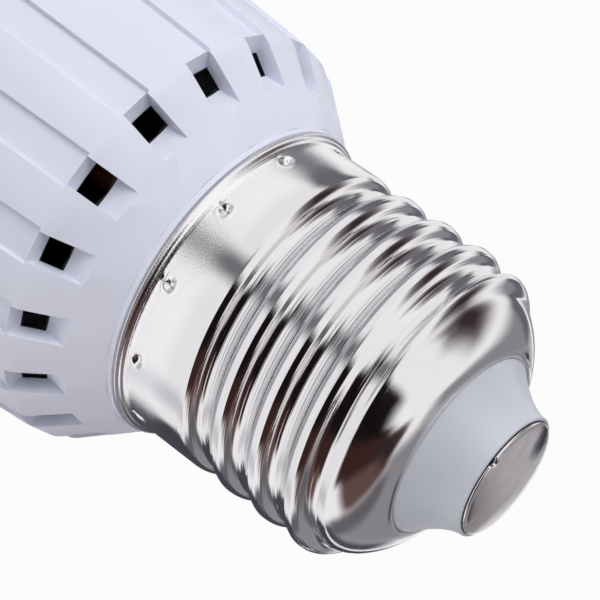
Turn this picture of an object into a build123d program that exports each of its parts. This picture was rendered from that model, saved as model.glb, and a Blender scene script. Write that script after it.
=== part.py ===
"""LED spotlight bulb: ribbed and vented housing, screw cap, LED board behind a clear cover, driver inside.

Millimetres. The axis of the lamp is Z, it stands on its front ring at z = 0 with the screw cap up,
and one cooling groove of the housing faces -Y.
"""
import math
import os

from build123d import *

os.makedirs("parts", exist_ok=True)

# Sizes that drive the rest
front_diameter = 50.0
cap_rim_z = 48.0
thread_diameter = 26.24
slip = 0.1
press = 0.05

# Front ring, cover and LED board, from the front face up
ring_height = 8.0
ring_lip = 1.5
ring_wall = 0.9
ring_lip_reach = 3.2
ring_round = 0.8
cover_thickness = 1.5
led_gap = 2.0
board_thickness = 1.6
mouth_wall = 2.0
ring_r = front_diameter / 2
ring_opening_r = ring_r - ring_lip_reach
mouth_r = ring_r - ring_wall - slip
cover_z = ring_lip
mouth_z = cover_z + cover_thickness
led_face_z = mouth_z + led_gap
ledge_z = led_face_z + board_thickness
mouth_bore_r = mouth_r - mouth_wall
led_board_r = mouth_bore_r - 1.5 * slip

# Screw cap, in heights above its rim
shell_depth = 1.47
rim_flare = 0.61
flare_height = 0.9
skirt_rise = 4.2
crest_step = 0.06
dome_rise = 18.0
dome_seat_rise = 18.8
crown_rise = 21.7
cap_length = 22.7
crown_inset = 3.22
cap_hole_inset = 5.42
cap_end_land = 0.15
thread_pitch = 3.62
thread_depth = 1.08
thread_root_half = 0.45
thread_flank_slope = 0.92
thread_start_rise = 5.64
thread_start_angle = 90.0
thread_turns = 4
thread_side_count = 36
thread_fade_count = 7
thread_over = 0.5
thread_r = thread_diameter / 2
cap_bore_r = thread_r - shell_depth
rim_r = thread_r + rim_flare
flare_top_z = cap_rim_z + flare_height
skirt_top_z = cap_rim_z + skirt_rise
crest_r = thread_r - crest_step
crown_r = thread_r - crown_inset
cap_hole_r = thread_r - cap_hole_inset
dome_z = cap_rim_z + dome_rise
dome_seat_z = cap_rim_z + dome_seat_rise
crown_z = cap_rim_z + crown_rise
cap_end_z = cap_rim_z + cap_length

# Cap insulator and centre contact
plug_rise = 4.15
plug_sweep_rise = 1.7
plug_sweep_r = 6.2
plug_end_r = 5.3
contact_r = 4.94
contact_edge = 0.2
contact_crown = 0.85
shank_r = 1.3
shank_out = 0.4
notch_r = 0.35
notch_angle = 265.0
insulator_r = cap_hole_r - press
insulator_foot_z = dome_seat_z
plug_sweep_z = cap_end_z + plug_sweep_rise
contact_seat_z = cap_end_z + plug_rise
shank_foot_z = insulator_foot_z - shank_out

# Housing: flange, flare, ribbed cone with flat lands, shoulder with vents, collar and neck
wall = 1.65
flange_step = 0.3
cone_foot_z = 13.0
cone_slope = 0.10
knee_inset = 6.45
knee_drop = 6.5
knee_round = 2.4
knee_facets = 4
collar_step = 0.73
collar_drop = 0.6
rim_sink = 0.15
flange_r = ring_r - flange_step
knee_r = ring_r - knee_inset
knee_z = cap_rim_z - knee_drop
collar_r = thread_r + collar_step
collar_z = cap_rim_z - collar_drop
rim_seat_z = cap_rim_z - rim_sink
shoulder_slope = (knee_r - collar_r) / (collar_z - knee_z)
cone_tilt = math.atan(cone_slope)
shoulder_tilt = math.atan(shoulder_slope)
cone_wall = wall / math.cos(cone_tilt)
shoulder_wall = wall / math.cos(shoulder_tilt)
inner_rise = collar_r - knee_r + cone_wall - shoulder_wall + shoulder_slope * collar_z - cone_slope * knee_z
inner_knee_z = inner_rise / (shoulder_slope - cone_slope)
inner_collar_z = collar_z - wall

# Grooves and vents
groove_count = 18
groove_start_angle = -90.0
groove_half_top = 1.55
groove_half_floor = 1.44
groove_depth = 0.42
groove_foot = 1.0
vent_end_drop = 6.8
vent_half_width = 1.27
vent_floor_inset = 2.87
vent_runout_inset = 2.62
vent_runout_drop = 3.0
cut_over = 1.5
groove_foot_z = cone_foot_z + groove_foot
vent_end_z = cap_rim_z - vent_end_drop
vent_floor_r = knee_r - vent_floor_inset
vent_runout_r = knee_r - vent_runout_inset
vent_runout_z = cap_rim_z - vent_runout_drop

# Neck of the housing inside the cap, and the rails that hold the driver board
neck_height = 6.0
neck_wall = 1.55
rail_depth = 1.1
rail_land = 1.2
neck_r = cap_bore_r - slip
neck_top_z = cap_rim_z + neck_height
neck_bore_r = neck_r - neck_wall

# Driver board and what stands on it
driver_half_width = 8.6
driver_front_y = 1.8
driver_thickness = 1.2
driver_foot_z = 11.0
driver_top_z = cap_rim_z + 12.0
film_width = 4.6
film_reach = 12.0
film_foot_z = 27.0
film_top_z = 40.0
film_bevel = 0.6
can_r = 4.0
can_x = 4.5
can_foot_z = 21.0
can_length = 13.0
fuse_r = 1.75
fuse_length = 9.0
fuse_foot_z = cap_rim_z + 1.0
rectifier_size = (4.7, 2.5, 4.0)
rectifier_z = 36.0
chip_size = (3.2, 0.6, 1.6)
chip_x = 4.0
chip_z = 28.0

# Leads
lead_r = 0.5
bare_r = 0.3
led_lead_x = 6.7
led_lead_top_z = 16.0
neutral_x = -4.0
neutral_foot_z = cap_rim_z + 0.6
neutral_top_z = neck_top_z + 3.0

# LED packages
led_length = 3.5
led_width = 2.8
led_height = 0.8
led_dish_length = 2.8
led_dish_width = 2.2
led_dish_depth = 0.2
inner_led_count = 5
outer_led_count = 10
inner_led_r = 5.5
outer_led_r = 13.5

# Sizes that follow from the ones above
driver_back_y = driver_front_y + driver_thickness
driver_mid_y = driver_front_y + driver_thickness / 2
fuse_y = driver_front_y - fuse_r - press
led_lead_y = driver_back_y + lead_r + press
led_lead_length = led_lead_top_z - ledge_z
led_front_z = led_face_z - led_height
led_rings = ((inner_led_count, inner_led_r), (outer_led_count, outer_led_r))
neutral_y = math.sqrt((cap_bore_r - bare_r - press) ** 2 - neutral_x ** 2)
neutral_in_y = driver_back_y + bare_r + press
neutral_turn_z = neck_top_z + 2 * bare_r
centred_low = (Align.CENTER, Align.CENTER, Align.MIN)


def cone_radius(z):
    """Distance from the axis to a flat land of the ribbed cone."""
    return knee_r + cone_slope * (knee_z - z)


def shoulder_radius(z):
    """Distance from the axis to a flat land of the shoulder."""
    return collar_r + shoulder_slope * (collar_z - z)


# Flat lands of the housing and of the space in it, from below: distance from axis to flat, and height
knee_run = knee_round * math.tan((shoulder_tilt - cone_tilt) / 2)
knee_foot_z = knee_z - knee_run * math.cos(cone_tilt)
knee_centre_r = cone_radius(knee_foot_z) - knee_round * math.cos(cone_tilt)
knee_centre_z = knee_foot_z - knee_round * math.sin(cone_tilt)
knee_turns = [cone_tilt + (shoulder_tilt - cone_tilt) * step / knee_facets for step in range(knee_facets + 1)]
knee_arc = [
    (knee_centre_r + knee_round * math.cos(turn), knee_centre_z + knee_round * math.sin(turn))
    for turn in knee_turns
]
land_profile = [(cone_radius(ring_height), ring_height), *knee_arc, (collar_r, collar_z)]
cavity_profile = [
    (cone_radius(ledge_z) - cone_wall, ledge_z),
    (cone_radius(inner_knee_z) - cone_wall, inner_knee_z),
    (shoulder_radius(inner_collar_z) - shoulder_wall, inner_collar_z),
]

# Cutter for one groove with its vent, drawn towards +X
groove_dir = Vector(cone_slope, 0, -1).normalized()
groove_top = Vector(cone_radius(vent_end_z), 0, vent_end_z)
groove_run = (vent_end_z - groove_foot_z) / -groove_dir.Z
with BuildPart() as vent_cutter:
    with BuildSketch(Plane(origin=groove_top, x_dir=(0, 1, 0), z_dir=groove_dir)) as groove_section:
        with BuildLine():
            Polyline(
                (-groove_half_top, cut_over),
                (-groove_half_top, 0.0),
                (-groove_half_floor, -groove_depth),
                (groove_half_floor, -groove_depth),
                (groove_half_top, 0.0),
                (groove_half_top, cut_over),
                close=True,
            )
        make_face()
    extrude(amount=groove_run)
    with BuildSketch(Plane.XZ) as vent_section:
        with BuildLine():
            Polyline(
                (knee_r + cut_over, vent_end_z),
                (vent_floor_r, vent_end_z),
                (vent_runout_r, vent_runout_z),
                (knee_r + cut_over, vent_runout_z),
                close=True,
            )
        make_face()
    extrude(amount=vent_half_width, both=True)

# Space inside the housing
with BuildPart() as cavity:
    for (flat_r, z), (top_r, top_z) in zip(cavity_profile, cavity_profile[1:]):
        with BuildSketch(Plane.XY.offset(z)):
            RegularPolygon(flat_r, groove_count, major_radius=False, rotation=groove_start_angle)
        extrude(amount=top_z - z, taper=math.degrees(math.atan2(flat_r - top_r, top_z - z)))
    with Locations((0, 0, mouth_z)):
        Cylinder(mouth_bore_r, ledge_z - mouth_z, align=centred_low)
    with Locations((0, 0, inner_collar_z)):
        Cylinder(neck_bore_r, neck_top_z - inner_collar_z, align=centred_low)

# Housing: front flange and flare, ribbed cone and shoulder, collar and neck
with BuildPart() as housing:
    with BuildSketch(Plane.XZ):
        with BuildLine():
            Polyline(
                (0, mouth_z),
                (mouth_r, mouth_z),
                (mouth_r, ring_height),
                (flange_r, ring_height),
                (cone_radius(cone_foot_z), cone_foot_z),
                (0, cone_foot_z),
                close=True,
            )
        make_face()
    revolve(axis=Axis.Z)
    for (flat_r, z), (top_r, top_z) in zip(land_profile, land_profile[1:]):
        with BuildSketch(Plane.XY.offset(z)):
            RegularPolygon(flat_r, groove_count, major_radius=False, rotation=groove_start_angle)
        extrude(amount=top_z - z, taper=math.degrees(math.atan2(flat_r - top_r, top_z - z)))
    with Locations((0, 0, knee_z)):
        Cylinder(collar_r, rim_seat_z - knee_z, align=centred_low)
        Cylinder(neck_r, neck_top_z - knee_z, align=centred_low)
    add(cavity.part, mode=Mode.SUBTRACT)
    with PolarLocations(0, groove_count, start_angle=groove_start_angle):
        add(vent_cutter.part, mode=Mode.SUBTRACT)
    with BuildSketch(Plane.XY.offset(inner_collar_z)):
        with Locations((0, driver_mid_y)):
            Rectangle(2 * neck_bore_r, driver_thickness + 2 * rail_land)
        Circle(neck_bore_r + slip, mode=Mode.INTERSECT)
        with Locations((0, driver_mid_y)):
            Rectangle(2 * (driver_half_width + slip), driver_thickness + 2 * slip, mode=Mode.SUBTRACT)
            Rectangle(2 * (driver_half_width - rail_depth), 2 * neck_bore_r, mode=Mode.SUBTRACT)
    extrude(amount=neck_top_z - inner_collar_z)
    with Locations((neutral_x, neutral_y - 2 * bare_r, neutral_foot_z - bare_r)):
        Box(4 * bare_r, neck_r, neck_top_z, align=(Align.CENTER, Align.MIN, Align.MIN), mode=Mode.SUBTRACT)
housing.part.label = "housing"
export_step(housing.part, "parts/housing.step")

# Front ring: a flat lip at the front and a band round the mouth of the housing
with BuildPart() as front_ring:
    with BuildSketch(Plane.XZ) as ring_section:
        with BuildLine():
            Polyline(
                (ring_opening_r, 0.0),
                (ring_r, 0.0),
                (ring_r, ring_height),
                (ring_r - ring_wall, ring_height),
                (ring_r - ring_wall, ring_lip),
                (ring_opening_r, ring_lip),
                close=True,
            )
        make_face()
        chamfer(ring_section.vertices().sort_by_distance((ring_r, 0, 0))[0], ring_round)
    revolve(axis=Axis.Z)
front_ring.part.label = "front_ring"
export_step(front_ring.part, "parts/front_ring.step")

# Clear cover: a disc between the lip of the ring and the mouth of the housing
with BuildPart() as front_cover:
    with BuildSketch(Plane.XY.offset(cover_z)):
        Circle(mouth_r)
    extrude(amount=cover_thickness)
front_cover.part.label = "front_cover"
export_step(front_cover.part, "parts/front_cover.step")

# LED board on its ledge
with BuildPart() as led_board:
    with BuildSketch(Plane.XY.offset(led_face_z)):
        Circle(led_board_r)
    extrude(amount=board_thickness)
led_board.part.label = "led_board"
export_step(led_board.part, "parts/led_board.step")

# LED packages: white boxes on the front of the board, each with a shallow dish that holds the phosphor
with BuildPart() as led_packages:
    for count, ring in led_rings:
        with BuildSketch(Plane.XY.offset(led_front_z)):
            with PolarLocations(ring, count):
                Rectangle(led_length, led_width)
        extrude(amount=led_height)
        with BuildSketch(Plane.XY.offset(led_front_z)):
            with PolarLocations(ring, count):
                Rectangle(led_dish_length, led_dish_width)
        extrude(amount=led_dish_depth, mode=Mode.SUBTRACT)
led_packages.part.label = "led_packages"
export_step(led_packages.part, "parts/led_packages.step")

with BuildPart() as led_phosphors:
    for count, ring in led_rings:
        with BuildSketch(Plane.XY.offset(led_front_z)):
            with PolarLocations(ring, count):
                Rectangle(led_dish_length - press, led_dish_width - press)
        extrude(amount=led_dish_depth)
led_phosphors.part.label = "led_phosphors"
export_step(led_phosphors.part, "parts/led_phosphors.step")

# Outside of the screw shell above its skirt: distance from axis to flat, and height
shell_profile = [
    (crest_r, skirt_top_z),
    (crest_r, dome_z),
    (crown_r, crown_z),
    (cap_hole_r + cap_end_land, cap_end_z),
]


def thread_section(step):
    """The thread's groove at one corner of the many-sided shell: outside and root, below and above."""
    turn = math.radians(thread_start_angle + 360 * step / thread_side_count)
    radial = Vector(math.cos(turn), math.sin(turn), 0)
    middle = Vector(0, 0, cap_rim_z + thread_start_rise + thread_pitch * step / thread_side_count)
    root_r = thread_r - thread_depth * min(1.0, step / thread_fade_count)
    outer_r = thread_r + thread_over
    outer_half = thread_root_half + thread_flank_slope * (outer_r - root_r)
    return (
        radial * outer_r + middle - Vector(0, 0, outer_half),
        radial * root_r + middle - Vector(0, 0, thread_root_half),
        radial * root_r + middle + Vector(0, 0, thread_root_half),
        radial * outer_r + middle + Vector(0, 0, outer_half),
    )


# The groove of the thread, carried round the shell from corner to corner
thread_sections = [thread_section(step) for step in range(thread_turns * thread_side_count + 1)]
groove_faces = [Face(Wire.make_polygon(thread_sections[0])), Face(Wire.make_polygon(thread_sections[-1]))]
for near, far in zip(thread_sections, thread_sections[1:]):
    groove_faces.append(Face(Wire.make_polygon((near[1], near[2], far[2], far[1]))))
    groove_faces.append(Face(Wire.make_polygon((near[0], near[3], far[3], far[0]))))
    for outer, root in ((0, 1), (3, 2)):
        groove_faces.append(Face(Wire.make_polygon((near[outer], near[root], far[root]))))
        groove_faces.append(Face(Wire.make_polygon((near[outer], far[root], far[outer]))))
thread_groove = Solid(Shell(groove_faces))

# Screw shell: flared rim and round skirt, then the many-sided thread and domed end
with BuildPart() as screw_shell:
    with BuildSketch(Plane.XZ):
        with BuildLine():
            Polyline(
                (0, rim_seat_z),
                (rim_r, rim_seat_z),
                (thread_r, flare_top_z),
                (thread_r, skirt_top_z),
                (0, skirt_top_z),
                close=True,
            )
        make_face()
    revolve(axis=Axis.Z)
    for (low_r, z), (top_r, top_z) in zip(shell_profile, shell_profile[1:]):
        with BuildSketch(Plane.XY.offset(z)):
            RegularPolygon(low_r, thread_side_count, major_radius=False, rotation=thread_start_angle)
        extrude(amount=top_z - z, taper=math.degrees(math.atan2(low_r - top_r, top_z - z)))
    add(thread_groove, mode=Mode.SUBTRACT)
    with Locations((0, 0, rim_seat_z)):
        Cylinder(cap_bore_r, dome_seat_z - rim_seat_z, align=centred_low, mode=Mode.SUBTRACT)
        Cylinder(cap_hole_r, cap_end_z - rim_seat_z, align=centred_low, mode=Mode.SUBTRACT)
screw_shell.part.label = "screw_shell"
export_step(screw_shell.part, "parts/screw_shell.step")

# Cap insulator: a moulded plug in the end of the shell that sweeps in to the edge of the contact
with BuildPart() as cap_insulator:
    with BuildSketch(Plane.XZ):
        with BuildLine():
            Polyline(
                (plug_end_r, contact_seat_z),
                (shank_r + slip, contact_seat_z),
                (shank_r + slip, insulator_foot_z),
                (insulator_r, insulator_foot_z),
                (insulator_r, cap_end_z),
                (plug_sweep_r, plug_sweep_z),
                close=True,
            )
        make_face()
    revolve(axis=Axis.Z)
cap_insulator.part.label = "cap_insulator"
export_step(cap_insulator.part, "parts/cap_insulator.step")

# Centre contact: a crowned disc with a notch in its edge and a shank through the insulator
with BuildPart() as centre_contact:
    with BuildSketch(Plane.XZ):
        with BuildLine():
            Polyline(
                (0, contact_seat_z + contact_crown),
                (0, shank_foot_z),
                (shank_r, shank_foot_z),
                (shank_r, contact_seat_z),
                (contact_r, contact_seat_z),
                (contact_r, contact_seat_z + contact_edge),
                (contact_r / 2, contact_seat_z + contact_crown),
                close=True,
            )
        make_face()
    revolve(axis=Axis.Z)
    with Locations((0, 0, contact_seat_z)):
        with PolarLocations(contact_r, 1, start_angle=notch_angle):
            Cylinder(notch_r, contact_crown, align=centred_low, mode=Mode.SUBTRACT)
centre_contact.part.label = "centre_contact"
export_step(centre_contact.part, "parts/centre_contact.step")

# Driver board, upright in the rails of the neck
with BuildPart() as driver_board:
    with BuildSketch(Plane.XY.offset(driver_foot_z)):
        with Locations((0, driver_front_y)):
            Rectangle(2 * driver_half_width, driver_thickness, align=(Align.CENTER, Align.MIN))
    extrude(amount=driver_top_z - driver_foot_z)
driver_board.part.label = "driver_board"
export_step(driver_board.part, "parts/driver_board.step")

# Film capacitor: a dipped block that stands on the front of the driver board
with BuildPart() as film_capacitor:
    with BuildSketch(Plane.XY.offset(film_foot_z)):
        with Locations((0, driver_front_y)):
            Rectangle(film_width, film_reach, align=(Align.MAX, Align.MAX))
    extrude(amount=film_top_z - film_foot_z)
    chamfer(film_capacitor.faces().sort_by(Axis.Y)[0].edges(), film_bevel)
film_capacitor.part.label = "film_capacitor"
export_step(film_capacitor.part, "parts/film_capacitor.step")

# Storage capacitor: a sleeved can that lies along the front of the driver board
with BuildPart() as storage_capacitor:
    with Locations((can_x, driver_front_y - can_r - press, can_foot_z)):
        Cylinder(can_r, can_length, align=centred_low)
storage_capacitor.part.label = "storage_capacitor"
export_step(storage_capacitor.part, "parts/storage_capacitor.step")

# Fuse resistor, in the neck
with BuildPart() as fuse_resistor:
    with Locations((0, fuse_y, fuse_foot_z)):
        Cylinder(fuse_r, fuse_length, align=centred_low)
fuse_resistor.part.label = "fuse_resistor"
export_step(fuse_resistor.part, "parts/fuse_resistor.step")

# Bridge rectifier and chip resistors, on the back of the driver board
with BuildPart() as bridge_rectifier:
    with Locations((0, driver_back_y, rectifier_z)):
        Box(*rectifier_size, align=(Align.CENTER, Align.MIN, Align.MIN))
bridge_rectifier.part.label = "bridge_rectifier"
export_step(bridge_rectifier.part, "parts/bridge_rectifier.step")

with BuildPart() as chip_resistors:
    with Locations((chip_x, driver_back_y, chip_z), (-chip_x, driver_back_y, chip_z)):
        Box(*chip_size, align=(Align.CENTER, Align.MIN, Align.MIN))
chip_resistors.part.label = "chip_resistors"
export_step(chip_resistors.part, "parts/chip_resistors.step")

# Leads from the driver board to the back of the LED board
with BuildPart() as led_lead_positive:
    with Locations((led_lead_x, led_lead_y, ledge_z)):
        Cylinder(lead_r, led_lead_length, align=centred_low)
led_lead_positive.part.label = "led_lead_positive"
export_step(led_lead_positive.part, "parts/led_lead_positive.step")

with BuildPart() as led_lead_negative:
    with Locations((-led_lead_x, led_lead_y, ledge_z)):
        Cylinder(lead_r, led_lead_length, align=centred_low)
led_lead_negative.part.label = "led_lead_negative"
export_step(led_lead_negative.part, "parts/led_lead_negative.step")

# Live lead from the shank of the contact to the fuse resistor
with BuildPart() as live_lead:
    with Locations((0, fuse_y, fuse_foot_z + fuse_length)):
        Cylinder(lead_r, shank_foot_z - fuse_foot_z - fuse_length, align=centred_low)
live_lead.part.label = "live_lead"
export_step(live_lead.part, "parts/live_lead.step")

# Neutral lead: a bare wire folded over the end of the neck and trapped against the shell
with BuildPart() as neutral_lead:
    with BuildLine() as neutral_path:
        Polyline(
            (neutral_x, neutral_y, neutral_foot_z),
            (neutral_x, neutral_y, neutral_turn_z),
            (neutral_x, neutral_in_y, neutral_turn_z),
            (neutral_x, neutral_in_y, neutral_top_z),
        )
    with BuildSketch(Plane(neutral_path.line @ 0, z_dir=neutral_path.line % 0)):
        Circle(bare_r)
    sweep(path=neutral_path.line, transition=Transition.RIGHT)
neutral_lead.part.label = "neutral_lead"
export_step(neutral_lead.part, "parts/neutral_lead.step")
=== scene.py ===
"""Looks of an LED spotlight bulb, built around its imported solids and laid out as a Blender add-on."""
import math

import bmesh
import bpy
import numpy as np
from mathutils import Matrix, Vector


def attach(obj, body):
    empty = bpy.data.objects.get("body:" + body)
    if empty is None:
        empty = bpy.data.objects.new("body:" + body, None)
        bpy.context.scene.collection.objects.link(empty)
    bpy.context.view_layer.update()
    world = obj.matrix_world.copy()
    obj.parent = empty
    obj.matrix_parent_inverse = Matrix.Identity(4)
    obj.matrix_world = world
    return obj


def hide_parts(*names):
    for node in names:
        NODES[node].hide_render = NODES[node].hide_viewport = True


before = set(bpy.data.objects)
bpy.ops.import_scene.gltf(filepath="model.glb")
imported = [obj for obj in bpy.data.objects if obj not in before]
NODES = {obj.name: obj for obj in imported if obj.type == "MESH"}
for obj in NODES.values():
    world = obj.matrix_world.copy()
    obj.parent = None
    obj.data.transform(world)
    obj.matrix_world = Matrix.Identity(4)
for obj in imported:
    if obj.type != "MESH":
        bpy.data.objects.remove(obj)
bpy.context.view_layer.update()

bl_info = {
    "name": "LED spotlight bulb",
    "version": (1, 0, 0),
    "blender": (4, 5, 0),
    "location": "View3D > Sidebar > Bulb",
    "description": "Builds the housing, the rolled screw cap and the light stage of an LED spotlight bulb",
    "category": "Object",
}

MM = 0.001
FULL_TURN = 2 * math.pi

# Heights along the axis of the lamp, in metres above its front.
CAP_RIM = 0.048
SATIN_END = 0.0508
THREAD_FOOT = 0.0530
LINES_FULL = 0.0545
LINES_FADE = 0.0660
LINES_END = 0.0672

# The grids of the cap: columns round the axis.
SHELL_COLUMNS = 368
PLUG_COLUMNS = 160
CONTACT_COLUMNS = 240
POLE_WELD = 1e-7

# The thread: height in millimetres above the rim at which a crest passes the angle in degrees, and the turns along the
# thread over which its first groove fades in.
CREST_HEIGHT = 7.638
CREST_ANGLE = 108.94
GROOVE_START = -0.78
GROOVE_FULL = -0.40

# Ripple of the rolling in the shape of the thread: depth in millimetres, waves per pitch, start in radians.
RIPPLE = ((0.010, 7, 0.6), (0.005, 12, 2.0))

# Finer rolling lines in the finish of the thread: waves per pitch, share of the bump.
ROLLED_LINES = ((19.0, 0.10), (31.0, 0.06))
ROLLED_DEPTH = 0.000014

# Punch marks on the skirt: degrees of the first, then millimetres.
STAKE_ANGLE = 12.5
STAKE_HEIGHT = 1.62
STAKE_RADIUS = 0.50
STRIKE_ASIDE = 0.30
STRIKE_BELOW = 0.62
STRIKE_RADIUS = 0.27

# The contact, in millimetres and degrees.
CONTACT_RADIUS = 4.94
CONTACT_TOP = 27.68
CROWN_FALL = 0.60
NOTCH_ANGLE = 265.0
NOTCH_RADIUS = 0.34

# Inside skin of the housing by height and radius in metres. What lies nearer to the axis is given a painted shade, the
# dark inside colour.
HOUSING_SKIN = ((0.0066, 0.0204), (0.041, 0.0172), (0.0475, 0.0120))
HOUSING_WELD = 1e-6
FLAT_ANGLE = 0.6
SOFT_ANGLE = 25.0
SOFT_SEGMENTS = 3

# The usual range of a noise, and the depth in metres of a moulded grain.
NOISE_LOW, NOISE_HIGH = 0.3, 0.7
GRAIN_DEPTH = 0.0002
DARK_SPECK = (0.13, 0.11, 0.10)
PLUG_SPECK = (0.12, 0.10, 0.09)

# Finishes of the front and inner parts: node, finish, colour, roughness, and what differs from the plain finish.
INNER_FINISHES = (
    ("led_board", "board_white", (0.78, 0.79, 0.78), 0.5, {"scale": 500.0, "spread": 0.03}),
    ("led_packages", "led_case", (0.80, 0.80, 0.77), 0.4, {"spread": 0.03}),
    ("led_phosphors", "led_phosphor", (0.80, 0.55, 0.06), 0.45, {"spread": 0.05}),
    ("driver_board", "phenolic_board", (0.085, 0.045, 0.018), 0.55, {}),
    ("film_capacitor", "dipped_capacitor", (0.20, 0.045, 0.012), 0.35, {}),
    ("storage_capacitor", "can_sleeve", (0.012, 0.012, 0.016), 0.3, {}),
    ("fuse_resistor", "resistor_body", (0.10, 0.16, 0.20), 0.5, {}),
    ("bridge_rectifier", "moulded_black", (0.015, 0.015, 0.016), 0.45, {}),
    ("chip_resistors", "chip_black", (0.02, 0.02, 0.022), 0.4, {}),
    ("led_lead_positive", "red_sleeve", (0.35, 0.02, 0.015), 0.4, {}),
    ("led_lead_negative", "black_sleeve", (0.015, 0.015, 0.015), 0.4, {}),
    ("live_lead", "brown_sleeve", (0.12, 0.05, 0.02), 0.4, {}),
    ("neutral_lead", "tinned_wire", (0.62, 0.61, 0.58), 0.3, {"metallic": 1.0}),
)

# The studio is a white tent. These are the dark and grey parts of the room that the bright metal mirrors in it: name,
# from and to azimuth, from and to elevation, soft edge in degrees, tone.
TENT = (1.0, 0.985, 0.985)
TENT_STRENGTH = 1.05
ROOM = (
    ("back wall", 27.0, 132.0, 8.0, 75.0, 8.0, (0.28, 0.27, 0.29)),
    ("back edge", 28.0, 44.0, 8.0, 58.0, 5.0, (0.14, 0.135, 0.145)),
    ("back light", 86.0, 106.0, -14.0, 75.0, 6.0, (0.44, 0.43, 0.45)),
    ("back corner", 107.0, 131.0, -25.0, 12.0, 5.0, (0.14, 0.14, 0.17)),
    ("back post", 94.7, 106.0, 6.0, 19.0, 1.5, (0.05, 0.05, 0.065)),
    ("far wall", 156.0, 190.0, -50.0, 24.0, 8.0, (0.20, 0.195, 0.21)),
    ("far haze", 150.0, 200.0, 12.0, 52.0, 10.0, (0.17, 0.155, 0.165)),
    ("far shade", 161.0, 186.0, 17.0, 42.0, 7.0, (0.040, 0.026, 0.030)),
    ("slate", 30.0, 74.0, -45.0, 10.0, 6.0, (0.078, 0.076, 0.096)),
    ("warm wall", -14.0, 27.0, 27.0, 70.0, 7.0, (0.13, 0.077, 0.070)),
    ("red wall", -50.0, -6.0, 14.0, 74.0, 6.0, (0.046, 0.020, 0.018)),
    ("high shade", -34.0, 18.0, 62.0, 86.0, 6.0, (0.035, 0.022, 0.022)),
    ("room", -99.0, -40.0, 8.0, 68.0, 8.0, (0.009, 0.006, 0.007)),
    ("stand", -114.0, -92.0, -2.0, 24.0, 11.0, (0.020, 0.018, 0.022)),
    ("dark doorway", 72.0, 78.0, 27.0, 44.0, 3.0, (0.07, 0.07, 0.075)),
)

# Soft lamps: name, azimuth, elevation, distance, size, watts. They look at the middle of the lamp.
SOFT_BOXES = (
    ("key_box", -128.0, 8.0, 0.45, 0.34, 1.02),
    ("fill_box", 4.0, 6.0, 0.50, 0.45, 0.84),
)
LAMP_MIDDLE = (0.0, 0.0, 0.045)

# Upright cards for the metal to mirror: name, azimuth, width, soft edge, tone.
CARDS = (
    ("slate_card", 52.0, 0.088, 0.012, (0.066, 0.064, 0.080)),
    ("stand_card", -98.0, 0.042, 0.018, (0.205, 0.196, 0.21)),
    ("far_card", 167.0, 0.066, 0.018, (0.17, 0.165, 0.18)),
    ("side_card", 103.0, 0.070, 0.022, (0.32, 0.32, 0.36)),
    ("pale_card", 1.0, 0.044, 0.020, (0.70, 0.69, 0.72)),
)
CARD_DISTANCE = 0.085
CARD_HEIGHT = 0.060

# The painted shadow round the foot of the lamp, for the metal to mirror: where it starts to fade, where it ends, its
# height, share and tone.
SHADE_NEAR = 0.055
SHADE_FAR = 0.102
SHADE_HEIGHT = 0.0004
SHADE_SHARE = 0.80
SHADE_TONE = (0.27, 0.265, 0.285)

# The floor lies just below the lamp, so that the two faces don't share a plane.
FLOOR_SIDE = 1.6
FLOOR_HEIGHT = -0.0003
FLOOR_GLOW = 0.94

# The camera fitted to the photograph: its place and the directions to its right, up and back.
CAMERA_PLACE = (-0.000285, -0.153386, 0.123745)
CAMERA_RIGHT = (-0.5837042956, 0.3349436263, 0.7396634792)
CAMERA_UP = (-0.8119095962, -0.2515336093, -0.5268146268)
CAMERA_BACK = (0.0095970231, -0.9080438374, 0.4187651926)
CAMERA_SENSOR = 36.0
CAMERA_NEAR = 0.005


def length(name, description, default):
    """A size in metres that a user may change."""
    return bpy.props.FloatProperty(name=name, description=description, default=default, unit="LENGTH", precision=5)


def colour(name, description, default):
    """A colour that a user may change."""
    return bpy.props.FloatVectorProperty(
        name=name, description=description, default=default, subtype="COLOR", size=3, min=0.0, max=1.0
    )


class BULB_PG_cap(bpy.types.PropertyGroup):
    """Sizes and finish of the rolled screw cap, its plug and its contact."""

    crest_radius: length("Crest radius", "Distance from the axis to the crest of the thread", 13.12 * MM)
    pitch: length("Pitch", "Rise of the thread in one turn", 3.62 * MM)
    fold_radius: length("Fold radius", "Radius of the rolled crests and roots", 1.025 * MM)
    rim_radius: length("Rim radius", "Radius of the flared rim", 13.73 * MM)
    stake_depth: length("Stake depth", "Depth of the punch marks that hold the cap on the housing", 0.42 * MM)
    stakes: bpy.props.IntProperty(name="Stakes", description="Punch marks round the skirt", default=12, min=0)
    nickel: colour("Nickel", "Colour of the bright plating", (0.93, 0.915, 0.935))
    plug: colour("Plug", "Colour of the moulded plug", (0.60, 0.63, 0.70))
    contact: colour("Contact", "Colour of the centre contact", (0.84, 0.81, 0.81))


class BULB_PG_housing(bpy.types.PropertyGroup):
    """Edges and finish of the moulded housing, and the tone of the painted shade on its inner wall."""

    edge_radius: length("Edge radius", "Soft radius on the moulded edges", 0.28 * MM)
    plastic: colour("Plastic", "Colour of the moulded plastic", (0.78, 0.805, 0.925))
    # The colour of the painted shade on the inner wall of the housing.
    inside: colour("Inside", "Tone of the shaded inner wall", (0.012, 0.010, 0.010))


class BULB_PG_stage(bpy.types.PropertyGroup):
    """Floor and camera."""

    floor: colour("Floor", "Colour of the plain floor", (0.90, 0.90, 0.91))
    lens: bpy.props.FloatProperty(name="Lens", description="Focal length in millimetres", default=130.7, min=1.0)


def smooth_step(low, high, x):
    """Zero below low, one above high, and the cubic 3t^2 - 2t^3 between them."""
    t = np.clip((x - low) / (high - low), 0.0, 1.0)
    return t * t * (3.0 - 2.0 * t)


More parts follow.
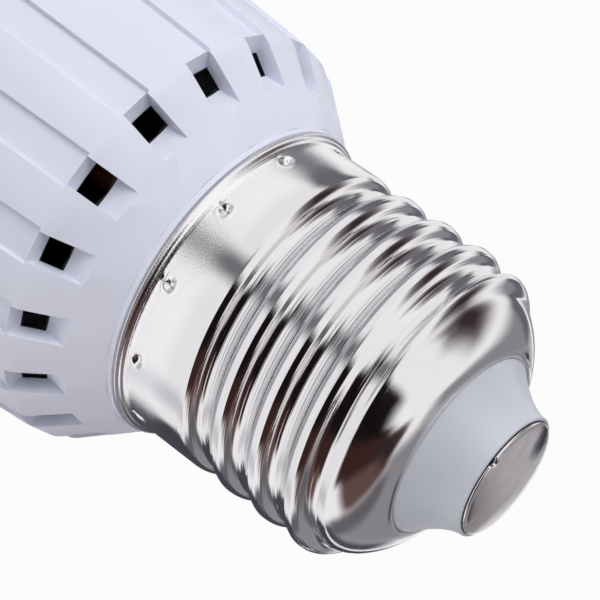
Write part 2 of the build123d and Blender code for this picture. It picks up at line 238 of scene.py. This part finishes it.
def soft_max(a, b, width):
    """The larger of a and b, with the corner between them rounded by a hyperbola of that width."""
    return 0.5 * (a + b + np.sqrt((a - b) ** 2 + width * width))


def angles(columns):
    """Angles of the columns round the axis, in radians, as one row."""
    return np.linspace(0.0, FULL_TURN, columns, endpoint=False)[None, :]


def turned(radius, height, theta):
    """Points of a turned surface in metres: x = r cos theta, y = r sin theta, and z = the rim of the cap plus height.

    Radius and height are in millimetres, a column of rows or rows by columns; theta runs over the columns.
    """
    level = CAP_RIM + height * MM
    return np.stack([radius * MM * np.cos(theta), radius * MM * np.sin(theta), level + 0.0 * theta], axis=-1)


def grid_mesh(name, points, close_rows=True):
    """Quads over an array of points, rows by columns by xyz, closed round the columns and, if asked, the rows."""
    rows, columns = points.shape[:2]
    index = np.arange(rows * columns).reshape(rows, columns)
    lower = index if close_rows else index[:-1]
    upper = np.roll(index, -1, axis=0) if close_rows else index[1:]
    quads = np.stack(
        [lower, np.roll(lower, -1, axis=1), np.roll(upper, -1, axis=1), upper], axis=-1
    ).reshape(-1, 4)
    mesh = bpy.data.meshes.new(name)
    mesh.vertices.add(rows * columns)
    mesh.vertices.foreach_set("co", points.reshape(-1).astype(np.float32))
    mesh.loops.add(quads.size)
    mesh.loops.foreach_set("vertex_index", quads.reshape(-1).astype(np.int32))
    mesh.polygons.add(len(quads))
    mesh.polygons.foreach_set("loop_start", np.arange(0, quads.size, 4, dtype=np.int32))
    mesh.polygons.foreach_set("use_smooth", np.ones(len(quads), dtype=bool))
    mesh.update(calc_edges=True)
    mesh.validate()
    return mesh


def close_poles(mesh):
    """Merges the points that a grid puts on one spot of the axis, so that the surface is closed there."""
    work = bmesh.new()
    work.from_mesh(mesh)
    bmesh.ops.remove_doubles(work, verts=work.verts, dist=POLE_WELD)
    work.to_mesh(mesh)
    work.free()


def add_piece(name, mesh, material, node):
    """Puts a finished mesh at the origin, on the body of the lamp, in the place of a CAD node."""
    piece = bpy.data.objects.new(name, mesh)
    bpy.context.scene.collection.objects.link(piece)
    mesh.materials.clear()
    mesh.materials.append(material)
    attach(piece, "root")
    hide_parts(node)
    return piece


def thread_section(x, pitch, fold):
    """Depth below the crest at the distance x from it along the axis.

    The section is two arcs of one radius that touch halfway between crest and root.
    """
    half = pitch / 2
    depth = 2 * fold - math.sqrt(4 * fold * fold - half * half)
    x = np.clip(np.abs(x), 0.0, half)
    crest = fold - np.sqrt(fold * fold - np.minimum(x, half / 2) ** 2)
    root = depth - fold + np.sqrt(fold * fold - np.minimum(half - x, half / 2) ** 2)
    return np.where(x < half / 2, crest, root)


def thread_cut(u, theta, cap):
    """Depth of the thread at the height u and the angle theta.

    The crests lie on u = 7.638 + pitch (k + (theta - 108.94) / 360). Two sines of the phase between them are the ripple
    of the rolling, and the first groove fades in along its turn, on the back of the skirt.
    """
    pitch, fold = cap.pitch / MM, cap.fold_radius / MM
    turn = (np.degrees(theta) - CREST_ANGLE) / 360.0
    turn = turn - np.floor(turn + 0.25)
    place = (u - CREST_HEIGHT) / pitch - turn
    phase = place - np.round(place)
    depth = thread_section(phase * pitch, pitch, fold)
    for height, waves, start in RIPPLE:
        depth = depth + height * np.sin(FULL_TURN * waves * phase + start)
    groove = np.floor(place) + 0.5 + turn
    return smooth_step(GROOVE_START, GROOVE_FULL, groove) * depth


def rim_form(u, cap):
    """What the rim adds to the radius at the height u.

    A flare falls off as a square, a lip turns in below the rim, and a sine makes the bead above it.
    """
    flare_from, flare_height = 0.16, 0.80
    lip_depth, lip_height = 0.10, 0.12
    bead_depth, bead_from, bead_wave = 0.028, 0.04, 0.30
    flare = np.clip(1.0 - (u - flare_from) / flare_height, 0.0, 1.0) ** 2
    lip = np.clip(-u / lip_height, 0.0, 1.0) ** 2
    bead = np.sin(FULL_TURN * (u - bead_from) / bead_wave)
    bead = bead * smooth_step(0.0, 0.1, u) * (1.0 - smooth_step(0.5, 0.7, u))
    return (cap.rim_radius / MM - cap.crest_radius / MM) * flare - lip_depth * lip + bead_depth * bead


def stake_marks(u, theta, cap):
    """Depth of the punch marks: a steep-sided pit at each mark, a low burr round it and a lighter second strike.

    The pit falls by a smooth step of the distance from its middle, and the burr is a bell curve round its edge. A sine
    of the mark's number makes the marks differ a little.
    """
    if cap.stakes == 0:
        return 0.0 * u * theta
    step = 360.0 / cap.stakes
    angle = np.degrees(theta) - STAKE_ANGLE
    number = np.round(angle / step)
    wobble = np.sin(number * 2.3 + 0.7)
    arc = np.radians(angle - number * step) * cap.crest_radius / MM
    along = u - STAKE_HEIGHT - 0.10 * wobble
    far = np.hypot(arc * (1.0 + 0.12 * wobble), along) / STAKE_RADIUS
    pit = 1.0 - smooth_step(0.45, 1.0, far)
    burr = np.exp(-(((far - 1.18) / 0.22) ** 2))
    far_two = np.hypot(arc + STRIKE_ASIDE * wobble, along + STRIKE_BELOW) / STRIKE_RADIUS
    second = (1.0 - smooth_step(0.30, 1.0, far_two)) * (0.35 + 0.3 * wobble)
    return cap.stake_depth / MM * (pit - 0.10 * burr + second)


def shell_rows():
    """Heights of the rows on the outside of the shell, from the rim up, closest at the rim and the end of the dome."""
    rim = np.concatenate([[-0.12, -0.05], np.linspace(0.0, 0.72, 25), [0.78, 0.86, 0.95]])
    skirt = np.linspace(1.06, 2.3, 13)
    thread = np.linspace(2.45, 19.2, 200)
    dome = [19.4, 19.6, 19.85, 20.1, 20.4, 20.7, 21.0, 21.3, 21.6, 21.9, 22.15, 22.35, 22.5, 22.6, 22.68, 22.7]
    return np.concatenate([rim, skirt, thread, dome])[:, None]


def shell_surface(cap):
    """Outside and inside of the rolled screw shell as one closed grid, in millimetres above the rim of the cap.

    The radius is an envelope of revolution less the depth of the thread. The envelope falls at the end, so that the
    last crest sinks into the dome, and the larger of thread and dome is the surface. The form of the rim is added, and
    the punch marks are taken off. The inside is a plain bore.
    """
    run_out_u = [17.6, 18.2, 18.7, 19.2, 19.7, 20.2, 20.8, 21.6]
    run_out_r = [cap.crest_radius / MM, 13.04, 12.84, 12.44, 11.9, 11.2, 10.2, 8.0]
    dome_u = [18.0, 19.0, 19.4, 19.8, 20.43, 21.12, 21.76, 22.28, 22.62, 22.7]
    dome_r = [11.6, 11.75, 11.73, 11.59, 11.2, 10.58, 9.83, 9.03, 8.29, 7.86]
    dome_from, dome_blend = 17.0, 0.10
    bore_u = np.array([22.62, 21.0, 18.8, 18.0, 12.0, 6.0, 0.0, -0.12])[:, None]
    bore_r = np.array([7.72, 7.72, 7.72, 11.66, 11.66, 11.66, 11.66, 11.66])[:, None]
    theta = angles(SHELL_COLUMNS)
    u = shell_rows()
    radius = np.interp(u, run_out_u, run_out_r) - thread_cut(u, theta, cap)
    dome = np.interp(u, dome_u, dome_r)
    radius = np.where(u > dome_from, soft_max(radius, dome, dome_blend), radius)
    radius = radius + rim_form(u, cap) - stake_marks(u, theta, cap)
    return turned(np.concatenate([radius, bore_r + 0.0 * theta]), np.concatenate([u, bore_u]), theta)


def plug_surface():
    """The moulded plug: a turned profile whose radius falls from the shell to the contact by a power of 1.7."""
    fall = np.linspace(0.0, 1.0, 28)
    foot = [[1.45, 18.8], [7.62, 18.8], [7.68, 20.5]]
    sweep = np.stack([5.27 + 2.42 * (1.0 - fall) ** 1.7, 22.66 + 4.06 * fall], axis=-1)
    lip = [[5.25, 26.76], [5.21, 26.81], [5.15, 26.84], [5.08, 26.85], [5.01, 26.83], [4.98, 26.76]]
    face = [[4.9, 26.62], [1.45, 26.60]]
    profile = np.concatenate([foot, sweep, lip, face])
    return turned(profile[:, :1], profile[:, 1:], angles(PLUG_COLUMNS))


def contact_surface():
    """The centre contact, from the foot of its shank up: a low crown whose height falls with the radius to the power
    of 2.2, with a round notch in its edge. The first and last rows shrink to a point on the axis.

    The rows below give the share of the radius with the height, and those of the edge the share with the drop below
    the crown.
    """
    theta = angles(CONTACT_COLUMNS)
    below = np.array([[0.0, 18.73], [0.26, 18.73], [0.26, 26.63], [0.3, 26.86], [0.99, 26.86]])
    edge = np.array([[1.0, 0.22], [1.0, 0.11], [0.997, 0.06], [0.985, 0.03], [0.965, 0.01]])
    crown = np.stack([np.linspace(0.94, 0.0, 22), np.zeros(22)], axis=-1)
    upper, drop = np.concatenate([edge, crown]).T
    top = CONTACT_TOP - CROWN_FALL * upper ** 2.2 - drop
    share = np.concatenate([below[:, 0], upper])[:, None]
    height = np.concatenate([below[:, 1], top])[:, None]
    side = (np.degrees(theta) - NOTCH_ANGLE + 180.0) % 360.0 - 180.0
    arc = np.radians(side) * CONTACT_RADIUS
    notch = np.sqrt(np.clip(NOTCH_RADIUS ** 2 - arc ** 2, 0.0, None))
    radius = share * (CONTACT_RADIUS - notch * smooth_step(0.90, 0.99, share))
    return turned(radius, height, theta)


class Nodes:
    """Short ways to add nodes to a node tree."""

    def __init__(self, tree):
        self.tree = tree

    def node(self, kind, **values):
        """Adds a node and sets its properties."""
        made = self.tree.nodes.new(kind)
        for key, value in values.items():
            setattr(made, key, value)
        return made

    def link(self, source, target):
        """Joins an output to an input."""
        self.tree.links.new(source, target)

    def feed(self, socket, value):
        """Gives an input another node's output or a plain number."""
        if isinstance(value, bpy.types.NodeSocket):
            self.link(value, socket)
        else:
            socket.default_value = value

    def ramp(self, value, low, high, dark, light, kind="LINEAR"):
        """Maps low..high of a value to dark..light, and holds it beyond them."""
        made = self.node("ShaderNodeMapRange", interpolation_type=kind)
        made.inputs["From Min"].default_value = low
        made.inputs["From Max"].default_value = high
        made.inputs["To Min"].default_value = dark
        made.inputs["To Max"].default_value = light
        self.link(value, made.inputs["Value"])
        return made.outputs["Result"]

    def band(self, value, low, high, soft):
        """One between low and high and zero outside, with a soft step at each."""
        rise = self.ramp(value, low - soft, low + soft, 0.0, 1.0, "SMOOTHSTEP")
        fall = self.ramp(value, high - soft, high + soft, 1.0, 0.0, "SMOOTHSTEP")
        return self.calc("MULTIPLY", rise, fall)

    def mix(self, share, one, two):
        """Colour one where share is 0 and colour two where it is 1; each may be a socket or a colour."""
        made = self.node("ShaderNodeMix", data_type="RGBA")
        self.link(share, made.inputs["Factor"])
        for key, value in (("A", one), ("B", two)):
            self.feed(made.inputs[key], value if isinstance(value, bpy.types.NodeSocket) else (*value, 1.0))
        return made.outputs["Result"]

    def mix_value(self, share, one, two):
        """Value one where share is 0 and value two where it is 1."""
        made = self.node("ShaderNodeMix", data_type="FLOAT")
        self.link(share, made.inputs["Factor"])
        self.link(one, made.inputs["A"])
        self.link(two, made.inputs["B"])
        return made.outputs["Result"]

    def calc(self, operation, *values):
        """One step of arithmetic on sockets or numbers."""
        made = self.node("ShaderNodeMath", operation=operation)
        for socket, value in zip(made.inputs, values):
            self.feed(socket, value)
        return made.outputs[0]


class Paint(Nodes):
    """A procedural material: a Principled shader with a few nodes in front of it."""

    def __init__(self, name, base, roughness, metallic=0.0):
        self.material = bpy.data.materials.new(name)
        self.material.use_nodes = True
        super().__init__(self.material.node_tree)
        self.shader = self.tree.nodes["Principled BSDF"]
        self.shader.inputs["Base Color"].default_value = (*base, 1.0)
        self.shader.inputs["Roughness"].default_value = roughness
        self.shader.inputs["Metallic"].default_value = metallic
        self.where = self.node("ShaderNodeTexCoord").outputs["Object"]

    def noise(self, scale, detail=2.0, roughness=0.5, stretch=None):
        """A noise of that many cells per metre, stretched along the axes if asked."""
        made = self.node("ShaderNodeTexNoise")
        made.inputs["Scale"].default_value = scale
        made.inputs["Detail"].default_value = detail
        made.inputs["Roughness"].default_value = roughness
        place = self.where
        if stretch is not None:
            mapping = self.node("ShaderNodeMapping")
            mapping.inputs["Scale"].default_value = stretch
            self.link(place, mapping.inputs["Vector"])
            place = mapping.outputs["Vector"]
        self.link(place, made.inputs["Vector"])
        return made.outputs["Fac"]

    def cloud(self, scale, detail, roughness=0.5, dark=0.0, light=1.0):
        """A noise whose usual range is spread over dark..light."""
        return self.ramp(self.noise(scale, detail, roughness), NOISE_LOW, NOISE_HIGH, dark, light)

    def specks(self, scale, size, share):
        """One where a small round speck lies: cells of a Voronoi pattern, a few of them with a dot at the middle."""
        made = self.node("ShaderNodeTexVoronoi")
        made.inputs["Scale"].default_value = scale
        self.link(self.where, made.inputs["Vector"])
        parts = self.node("ShaderNodeSeparateColor")
        self.link(made.outputs["Color"], parts.inputs["Color"])
        chosen = self.calc("LESS_THAN", parts.outputs[0], share)
        near = self.ramp(made.outputs["Distance"], size * 0.6, size, 1.0, 0.0)
        return self.calc("MULTIPLY", chosen, near)

    def place(self):
        """The x, y and z of a point."""
        parts = self.node("ShaderNodeSeparateXYZ")
        self.link(self.where, parts.inputs[0])
        return tuple(parts.outputs)

    def axis_radius(self):
        """Distance from the axis of the lamp."""
        x, y, _ = self.place()
        square = self.calc("ADD", self.calc("POWER", x, 2.0), self.calc("POWER", y, 2.0))
        return self.calc("SQRT", square)

    def angle(self):
        """Angle round the axis of the lamp."""
        x, y, _ = self.place()
        return self.calc("ARCTAN2", y, x)

    def height(self):
        """Height along the axis of the lamp."""
        return self.place()[2]

    def bump(self, height, strength, distance):
        """Gives the shader a bump."""
        made = self.node("ShaderNodeBump")
        made.inputs["Strength"].default_value = strength
        made.inputs["Distance"].default_value = distance
        self.link(height, made.inputs["Height"])
        self.link(made.outputs["Normal"], self.shader.inputs["Normal"])

    def set(self, socket, value):
        """Links a value that varies over the surface to the shader."""
        self.link(value, self.shader.inputs[socket])

    def glow(self, tone):
        """A plain glow of one tone."""
        made = self.node("ShaderNodeEmission")
        made.inputs["Color"].default_value = (*tone, 1.0)
        return made.outputs[0]

    def clear(self):
        """A surface that lets everything through."""
        return self.node("ShaderNodeBsdfTransparent").outputs[0]

    def blend(self, share, one, two):
        """Shader one where share is 0 and shader two where it is 1."""
        made = self.node("ShaderNodeMixShader")
        for socket, value in zip(made.inputs, (share, one, two)):
            self.link(value, socket)
        return made.outputs[0]

    def show(self, surface):
        """Makes a shader the surface of the material."""
        self.link(surface, self.tree.nodes["Material Output"].inputs["Surface"])


def toned(base, factor):
    """A colour made darker or lighter by a factor, up to white."""
    return tuple(min(1.0, factor * c) for c in base)


def housing_plastic(settings):
    """White moulded plastic with a cool tint, a fine satin grain, a few specks and a painted shade on the inner wall.
    """
    base = tuple(settings.plastic)
    paint = Paint("housing_plastic", base, 0.45)
    tone = paint.mix(paint.cloud(90.0, 3.0), toned(base, 0.97), toned(base, 1.02))
    tone = paint.mix(paint.specks(210.0, 0.036, 0.16), tone, DARK_SPECK)
    (foot, foot_radius), (knee, knee_radius), (neck, neck_radius) = HOUSING_SKIN
    height = paint.height()
    upper = paint.ramp(height, knee, neck, knee_radius, neck_radius)
    lower = paint.ramp(height, foot, knee, foot_radius, knee_radius)
    skin = paint.calc("MINIMUM", upper, lower)
    # Painted shade: what lies nearer the axis than the inside skin takes the dark inside colour, for the shade within
    # the housing.
    painted_inner_shade = paint.calc("LESS_THAN", paint.calc("SUBTRACT", paint.axis_radius(), skin), 0.0)
    paint.set("Base Color", paint.mix(painted_inner_shade, tone, tuple(settings.inside)))
    paint.set("Roughness", paint.cloud(700.0, 3.0, dark=0.40, light=0.50))
    paint.bump(paint.noise(2600.0, 3.0, 0.6), 0.06, GRAIN_DEPTH)
    return paint.material


def bright_nickel(settings):
    """Bright nickel plating on rolled sheet: a satin skirt with a fine grain, and rolling lines along the thread. On
    the thread the plating is toned darker than on the skirt, a painted shade that dims the reflections there.

    The lines are sines of 2 pi height / pitch less the angle, so they follow the thread and close on themselves.
    """
    base = tuple(settings.nickel)
    paint = Paint("bright_nickel", base, 0.09, 1.0)
    height = paint.height()
    satin = paint.ramp(height, SATIN_END, THREAD_FOOT, 1.0, 0.0, "SMOOTHSTEP")
    # Painted shade: on the thread the nickel is toned to 0.86 and 0.80 of the base, against 1.0 and 0.95 on the skirt,
    # to dim its reflections.
    clean_with_thread_shade = paint.mix(satin, toned(base, 0.86), base)
    worn_with_thread_shade = paint.mix(satin, toned(base, 0.80), toned(base, 0.95))
    paint.set("Base Color", paint.mix(paint.cloud(160.0, 4.0), worn_with_thread_shade, clean_with_thread_shade))
    grain = paint.noise(9000.0, 2.0, 0.6)
    bright = paint.cloud(900.0, 4.0, 0.6, 0.05, 0.10)
    drawn = paint.ramp(grain, NOISE_LOW, NOISE_HIGH, 0.14, 0.22)
    paint.set("Roughness", paint.mix_value(satin, bright, drawn))
    rough = paint.ramp(height, SATIN_END, THREAD_FOOT, 1.0, 0.15, "SMOOTHSTEP")
    turn = paint.calc("SUBTRACT", paint.calc("MULTIPLY", height, FULL_TURN / settings.pitch), paint.angle())
    lines = [
        paint.calc("MULTIPLY", paint.calc("SINE", paint.calc("MULTIPLY", turn, waves)), share)
        for waves, share in ROLLED_LINES
    ]
    rolled = paint.calc("ADD", *lines)
    rolled = paint.calc("MULTIPLY", rolled, paint.ramp(height, THREAD_FOOT, LINES_FULL, 0.0, 1.0))
    rolled = paint.calc("MULTIPLY", rolled, paint.ramp(height, LINES_FADE, LINES_END, 1.0, 0.0))
    paint.bump(paint.calc("ADD", paint.calc("MULTIPLY", grain, rough), rolled), 1.0, ROLLED_DEPTH)
    return paint.material


def contact_metal(settings):
    """The contact: a plated disc with smears and faint scratches."""
    base = tuple(settings.contact)
    paint = Paint("contact_metal", base, 0.15, 1.0)
    smear = paint.ramp(paint.noise(420.0, 4.0, 0.6, (1.0, 2.2, 1.0)), 0.35, 0.65, 0.0, 1.0)
    paint.set("Base Color", paint.mix(smear, toned(base, 0.86), base))
    paint.set("Roughness", paint.cloud(1200.0, 3.0, dark=0.05, light=0.10))
    paint.bump(paint.noise(700.0, 4.0, 0.6, (1.0, 2.5, 1.0)), 0.10, GRAIN_DEPTH)
    return paint.material


def plug_plastic(settings):
    """Pale blue-grey moulded plug with a soft satin face and a few dark specks."""
    base = tuple(settings.plug)
    paint = Paint("plug_plastic", base, 0.38)
    tone = paint.mix(paint.cloud(220.0, 3.0), toned(base, 0.97), toned(base, 1.02))
    paint.set("Base Color", paint.mix(paint.specks(420.0, 0.05, 0.18), tone, PLUG_SPECK))
    paint.set("Roughness", paint.cloud(900.0, 2.0, dark=0.33, light=0.44))
    paint.bump(paint.noise(2600.0), 0.05, GRAIN_DEPTH)
    return paint.material


def plain_finish(name, base, roughness, metallic=0.0, scale=900.0, spread=0.06):
    """A finish with a little tone, gloss and grain of its own, for the parts inside and at the front."""
    paint = Paint(name, base, roughness, metallic)
    paint.set("Base Color", paint.mix(paint.cloud(scale, 3.0), toned(base, 1 - spread), toned(base, 1 + spread)))
    smooth, dull = 0.85 * roughness, min(1.0, 1.15 * roughness)
    paint.set("Roughness", paint.cloud(1.7 * scale, 2.0, dark=smooth, light=dull))
    paint.bump(paint.noise(3.1 * scale), 0.08, GRAIN_DEPTH)
    return paint.material


def clear_cover():
    """Clear polycarbonate with a faint haze."""
    paint = Paint("clear_polycarbonate", (0.97, 0.98, 0.99), 0.06)
    paint.shader.inputs["Transmission Weight"].default_value = 1.0
    paint.shader.inputs["IOR"].default_value = 1.58
    paint.set("Roughness", paint.cloud(300.0, 3.0, dark=0.03, light=0.09))
    return paint.material


def floor_finish(settings):
    """A pale floor that the camera and reflections see as near white, with the shadow of the lamp kept. It is clear
    from below, so that the front of the lamp can be looked at."""
    paint = Paint("floor_white", tuple(settings.floor), 0.9)
    path = paint.node("ShaderNodeLightPath").outputs
    seen = paint.calc("MAXIMUM", path["Is Camera Ray"], path["Is Glossy Ray"])
    seen = paint.calc("MAXIMUM", seen, path["Is Transmission Ray"])
    share = paint.calc("MULTIPLY", seen, FLOOR_GLOW)
    above = paint.blend(share, paint.shader.outputs[0], paint.glow((1.0, 1.0, 1.0)))
    below = paint.node("ShaderNodeNewGeometry").outputs["Backfacing"]
    paint.show(paint.blend(below, above, paint.clear()))
    return paint.material


def dress_node(node, material):
    """Gives a CAD node its finish through its own material slot."""
    shown = NODES[node]
    if not shown.material_slots:
        shown.data.materials.append(material)
    for slot in shown.material_slots:
        slot.material = material


def studio_world(scene):
    """A white tent with the dark and grey parts of the room in it, laid out by azimuth and elevation."""
    world = bpy.data.worlds.new("studio")
    scene.world = world
    world.use_nodes = True
    nodes = Nodes(world.node_tree)
    parts = nodes.node("ShaderNodeSeparateXYZ")
    nodes.link(nodes.node("ShaderNodeTexCoord").outputs["Generated"], parts.inputs[0])
    x, y, z = parts.outputs
    azimuth = nodes.calc("MULTIPLY", nodes.calc("ARCTAN2", y, x), 180.0 / math.pi)
    past_half = nodes.calc("WRAP", azimuth, 360.0, 0.0)
    elevation = nodes.calc("MULTIPLY", nodes.calc("ARCSINE", z), 180.0 / math.pi)
    tone = TENT
    for name, west, east, low, high, soft, shade in ROOM:
        around = past_half if east > 180.0 else azimuth
        share = nodes.calc(
            "MULTIPLY", nodes.band(around, west, east, soft), nodes.band(elevation, low, high, soft)
        )
        tone = nodes.mix(share, tone, shade)
        tone.node.label = name
    path = nodes.node("ShaderNodeLightPath")
    tone = nodes.mix(path.outputs["Is Camera Ray"], tone, (1.0 / TENT_STRENGTH,) * 3)
    background = world.node_tree.nodes["Background"]
    nodes.link(tone, background.inputs["Color"])
    background.inputs["Strength"].default_value = TENT_STRENGTH


def level_square(side, height):
    """Corners of a level square round the axis of the lamp."""
    return [(-side, -side, height), (side, -side, height), (side, side, height), (-side, side, height)]


def stage_sheet(name, corners, material):
    """One flat face of the stage, which isn't part of the lamp."""
    mesh = bpy.data.meshes.new(name)
    mesh.from_pydata(corners, [], [(0, 1, 2, 3)])
    mesh.materials.append(material)
    sheet = bpy.data.objects.new(name, mesh)
    bpy.context.scene.collection.objects.link(sheet)
    return sheet


def metal_card(name, corners, tone, cover):
    """A card that only the metal mirrors: cover takes its paint and gives the share of the tone at each point."""
    paint = Paint(name, (0.0, 0.0, 0.0), 1.0)
    paint.show(paint.blend(cover(paint), paint.clear(), paint.glow(tone)))
    card = stage_sheet(name, corners, paint.material)
    card.visible_camera = card.visible_shadow = card.visible_diffuse = False


def mirror_card(name, azimuth, width, soft, tone):
    """An upright card beside the lamp with soft upright edges."""
    turn = math.radians(azimuth)
    side = Vector((-math.sin(turn), math.cos(turn), 0.0))
    along = side * width / 2
    foot = Vector((math.cos(turn), math.sin(turn), 0.0)) * CARD_DISTANCE
    top = Vector((0.0, 0.0, CARD_HEIGHT))

    def cover(paint):
        across = paint.node("ShaderNodeVectorMath", operation="DOT_PRODUCT")
        across.inputs[1].default_value = side
        paint.link(paint.where, across.inputs[0])
        edge = paint.calc("ABSOLUTE", across.outputs["Value"])
        return paint.ramp(edge, width / 2 - soft, width / 2, 1.0, 0.0, "SMOOTHSTEP")

    metal_card(name, [foot - along, foot + along, foot + along + top, foot - along + top], tone, cover)


def floor_shade(name):
    """A painted shadow: the soft shade that the lamp casts round its own foot, on a level card."""

    def cover(paint):
        return paint.ramp(paint.axis_radius(), SHADE_NEAR, SHADE_FAR, SHADE_SHARE, 0.0, "SMOOTHSTEP")

    metal_card(name, level_square(SHADE_FAR, SHADE_HEIGHT), SHADE_TONE, cover)


def soft_box(name, azimuth, elevation, far, size, power):
    """A soft square lamp at a direction and distance from the middle of the bulb, which it looks at."""
    turn, rise = math.radians(azimuth), math.radians(elevation)
    away = Vector((math.cos(turn) * math.cos(rise), math.sin(turn) * math.cos(rise), math.sin(rise)))
    light = bpy.data.lights.new(name, "AREA")
    light.size = size
    light.energy = power
    made = bpy.data.objects.new(name, light)
    made.location = Vector(LAMP_MIDDLE) + away * far
    made.rotation_euler = (-away).to_track_quat("-Z", "Y").to_euler()
    made.visible_glossy = False
    bpy.context.scene.collection.objects.link(made)


def photo_camera(scene, lens):
    """The camera at the place and turn of the one that took the photograph."""
    data = bpy.data.cameras.new("photo_camera")
    data.sensor_width = CAMERA_SENSOR
    data.lens = lens
    data.clip_start = CAMERA_NEAR
    camera = bpy.data.objects.new("photo_camera", data)
    turn = Matrix((CAMERA_RIGHT, CAMERA_UP, CAMERA_BACK)).transposed().to_4x4()
    camera.matrix_world = Matrix.Translation(CAMERA_PLACE) @ turn
    scene.collection.objects.link(camera)
    scene.camera = camera


class BULB_OT_screw_shell(bpy.types.Operator):
    """Builds the rolled screw shell with its thread, punch marks and domed end"""

    bl_idname = "bulb.screw_shell"
    bl_label = "Screw shell"

    def execute(self, context):
        cap = context.scene.bulb_cap
        mesh = grid_mesh("screw_shell_rolled", shell_surface(cap))
        add_piece("screw_shell_rolled", mesh, bright_nickel(cap), "screw_shell")
        return {"FINISHED"}


class BULB_OT_cap_end(bpy.types.Operator):
    """Builds the moulded plug in the end of the cap and the crowned contact on it"""

    bl_idname = "bulb.cap_end"
    bl_label = "Plug and contact"

    def execute(self, context):
        cap = context.scene.bulb_cap
        plug = grid_mesh("cap_insulator_moulded", plug_surface())
        add_piece("cap_insulator_moulded", plug, plug_plastic(cap), "cap_insulator")
        contact = grid_mesh("centre_contact_crowned", contact_surface(), close_rows=False)
        close_poles(contact)
        add_piece("centre_contact_crowned", contact, contact_metal(cap), "centre_contact")
        return {"FINISHED"}


class BULB_OT_housing(bpy.types.Operator):
    """Softens the moulded edges of the housing and gives it its plastic"""

    bl_idname = "bulb.housing"
    bl_label = "Housing"

    def execute(self, context):
        settings = context.scene.bulb_housing
        mesh = NODES["housing"].data.copy()
        mesh.name = "housing_moulded"
        work = bmesh.new()
        work.from_mesh(mesh)
        bmesh.ops.remove_doubles(work, verts=work.verts, dist=HOUSING_WELD)
        flat = math.radians(FLAT_ANGLE)
        bmesh.ops.dissolve_limit(work, angle_limit=flat, verts=work.verts, edges=work.edges)
        for face in work.faces:
            face.smooth = True
        work.to_mesh(mesh)
        work.free()
        piece = add_piece("housing_moulded", mesh, housing_plastic(settings), "housing")
        soft = piece.modifiers.new("soft_edges", "BEVEL")
        soft.width = settings.edge_radius
        soft.segments = SOFT_SEGMENTS
        soft.limit_method = "ANGLE"
        soft.angle_limit = math.radians(SOFT_ANGLE)
        soft.harden_normals = True
        return {"FINISHED"}


class BULB_OT_inner_parts(bpy.types.Operator):
    """Gives the front ring, cover, LED board and driver parts their finishes"""

    bl_idname = "bulb.inner_parts"
    bl_label = "Front and inner parts"

    def execute(self, context):
        plastic = tuple(context.scene.bulb_housing.plastic)
        dress_node("front_ring", plain_finish("ring_plastic", plastic, 0.42, scale=600.0, spread=0.02))
        dress_node("front_cover", clear_cover())
        for node, name, base, roughness, more in INNER_FINISHES:
            dress_node(node, plain_finish(name, base, roughness, **more))
        return {"FINISHED"}


class BULB_OT_stage(bpy.types.Operator):
    """Adds the pale floor, the soft lights and the camera"""

    bl_idname = "bulb.stage"
    bl_label = "Stage"

    def execute(self, context):
        scene = context.scene
        settings = scene.bulb_stage
        stage_sheet("floor", level_square(FLOOR_SIDE, FLOOR_HEIGHT), floor_finish(settings))
        studio_world(scene)
        for box in SOFT_BOXES:
            soft_box(*box)
        for card in CARDS:
            mirror_card(*card)
        # A painted shadow round the foot of the lamp, for the metal to mirror.
        floor_shade("painted_foot_shadow")
        photo_camera(scene, settings.lens)
        scene.view_settings.view_transform = "Standard"
        return {"FINISHED"}


class BULB_PT_panel(bpy.types.Panel):
    """Lists the pieces of the bulb in the sidebar"""

    bl_idname = "BULB_PT_panel"
    bl_label = "LED spotlight bulb"
    bl_space_type = "VIEW_3D"
    bl_region_type = "UI"
    bl_category = "Bulb"

    def draw(self, context):
        for operator in OPERATORS:
            self.layout.operator(operator.bl_idname)


OPERATORS = (BULB_OT_screw_shell, BULB_OT_cap_end, BULB_OT_housing, BULB_OT_inner_parts, BULB_OT_stage)
GROUPS = (("bulb_cap", BULB_PG_cap), ("bulb_housing", BULB_PG_housing), ("bulb_stage", BULB_PG_stage))


def register():
    """Adds the settings, the operators and the panel."""
    for name, group in GROUPS:
        bpy.utils.register_class(group)
        setattr(bpy.types.Scene, name, bpy.props.PointerProperty(type=group))
    for kind in (*OPERATORS, BULB_PT_panel):
        bpy.utils.register_class(kind)


def unregister():
    """Takes the panel, the operators and the settings out again."""
    for kind in (BULB_PT_panel, *reversed(OPERATORS)):
        bpy.utils.unregister_class(kind)
    for name, group in reversed(GROUPS):
        delattr(bpy.types.Scene, name)
        bpy.utils.unregister_class(group)


def main():
    """Builds every piece and the stage."""
    register()
    bpy.ops.bulb.screw_shell()
    bpy.ops.bulb.cap_end()
    bpy.ops.bulb.housing()
    bpy.ops.bulb.inner_parts()
    bpy.ops.bulb.stage()
    bpy.context.view_layer.update()


if __name__ == "__main__":
    main()
